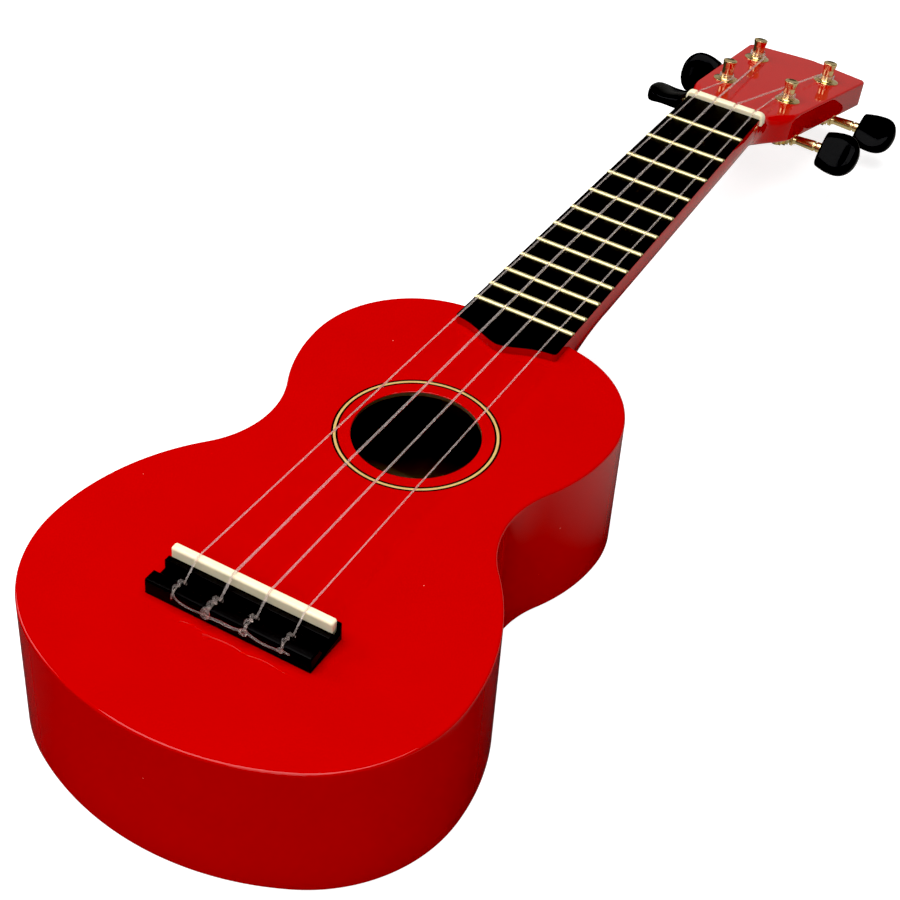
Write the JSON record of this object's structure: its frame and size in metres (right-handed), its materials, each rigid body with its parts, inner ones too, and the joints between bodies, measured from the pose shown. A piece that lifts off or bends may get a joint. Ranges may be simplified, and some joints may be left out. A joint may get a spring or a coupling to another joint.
{
  "type": "soprano ukulele",
  "caption": "Small hollow-bodied plucked instrument with a figure-eight body, a round sound hole, a fretted neck and geared tuning machines on a tilted headstock.",
  "frame": {"origin": "outer face of the back, on the centreline, straight below the line that the string length is measured from", "axes": "+Y along the strings towards the headstock, +Z out of the soundboard, +X towards the side of the highest string"},
  "size_m": [0.153, 0.5074, 0.0645],
  "materials": {
    "red_lacquer": "high-gloss opaque red lacquer over wood",
    "bare_wood": "unfinished pale wood inside the body",
    "black_wood": "satin black-stained wood",
    "cream_plastic": "polished cream plastic",
    "fret_brass": "polished pale brass",
    "rosette_gold": "gold inlay line under lacquer",
    "rosette_black": "black inlay lines under lacquer",
    "nylon": "clear nylon string",
    "gold_plate": "polished gold plating",
    "black_plastic": "polished black plastic"
  },
  "bodies": {
    "root": {"soundboard": "red_lacquer", "back_plate": "red_lacquer", "bass_side": "red_lacquer", "treble_side": "red_lacquer", "top_linings": "bare_wood", "back_linings": "bare_wood", "neck_block": "bare_wood", "tail_block": "bare_wood", "upper_brace": "bare_wood", "lower_brace": "bare_wood", "bridge_plate": "bare_wood", "upper_back_brace": "bare_wood", "lower_back_brace": "bare_wood", "rosette_gold": "rosette_gold", "rosette_black": "rosette_black", "neck": "red_lacquer", "neck_dowels": "bare_wood", "fretboard": "black_wood", "frets": "fret_brass", "nut": "cream_plastic", "bridge": "black_wood", "saddle": "cream_plastic", "string_1": "nylon", "string_2": "nylon", "string_3": "nylon", "string_4": "nylon", "tuner_screws": "gold_plate", "tuner_plate_1": "gold_plate", "tuner_plate_2": "gold_plate", "tuner_plate_3": "gold_plate", "tuner_plate_4": "gold_plate", "bushing_1": "gold_plate", "bushing_2": "gold_plate", "bushing_3": "gold_plate", "bushing_4": "gold_plate"},
    "knob_1": {"worm_shaft_1": "gold_plate", "button_1": "black_plastic"},
    "reel_1": {"post_1": "gold_plate", "cog_1": "gold_plate", "cog_screw_1": "gold_plate", "winding_1": "nylon"},
    "knob_2": {"worm_shaft_2": "gold_plate", "button_2": "black_plastic"},
    "reel_2": {"post_2": "gold_plate", "cog_2": "gold_plate", "cog_screw_2": "gold_plate", "winding_2": "nylon"},
    "knob_3": {"worm_shaft_3": "gold_plate", "button_3": "black_plastic"},
    "reel_3": {"post_3": "gold_plate", "cog_3": "gold_plate", "cog_screw_3": "gold_plate", "winding_3": "nylon"},
    "knob_4": {"worm_shaft_4": "gold_plate", "button_4": "black_plastic"},
    "reel_4": {"post_4": "gold_plate", "cog_4": "gold_plate", "cog_screw_4": "gold_plate", "winding_4": "nylon"}
  },
  "joints": [
    {"name": "knob_turn_1", "type": "hinge", "parent": "root", "child": "knob_1", "pos_m": [-0.0154, 0.38805, 0.02683], "axis": [-1, 0, 0], "continuous": true},
    {"name": "post_turn_1", "type": "hinge", "parent": "root", "child": "reel_1", "pos_m": [-0.0154, 0.38548, 0.0459], "axis": [0, 0.225, 0.9744], "continuous": true},
    {"name": "knob_turn_2", "type": "hinge", "parent": "root", "child": "knob_2", "pos_m": [-0.017, 0.4282, 0.01757], "axis": [-1, 0, 0], "continuous": true},
    {"name": "post_turn_2", "type": "hinge", "parent": "root", "child": "reel_2", "pos_m": [-0.017, 0.42562, 0.03663], "axis": [0, 0.225, 0.9744], "continuous": true},
    {"name": "knob_turn_3", "type": "hinge", "parent": "root", "child": "knob_3", "pos_m": [0.017, 0.4282, 0.01757], "axis": [1, 0, 0], "continuous": true},
    {"name": "post_turn_3", "type": "hinge", "parent": "root", "child": "reel_3", "pos_m": [0.017, 0.42562, 0.03663], "axis": [0, 0.225, 0.9744], "continuous": true},
    {"name": "knob_turn_4", "type": "hinge", "parent": "root", "child": "knob_4", "pos_m": [0.0138, 0.38805, 0.02683], "axis": [1, 0, 0], "continuous": true},
    {"name": "post_turn_4", "type": "hinge", "parent": "root", "child": "reel_4", "pos_m": [0.0138, 0.38548, 0.0459], "axis": [0, 0.225, 0.9744], "continuous": true}
  ],
  "couplings": [
    {"joint": "post_turn_1", "follows": "knob_turn_1", "ratio": 0.071429},
    {"joint": "post_turn_2", "follows": "knob_turn_2", "ratio": 0.071429},
    {"joint": "post_turn_3", "follows": "knob_turn_3", "ratio": 0.071429},
    {"joint": "post_turn_4", "follows": "knob_turn_4", "ratio": 0.071429}
  ]
}
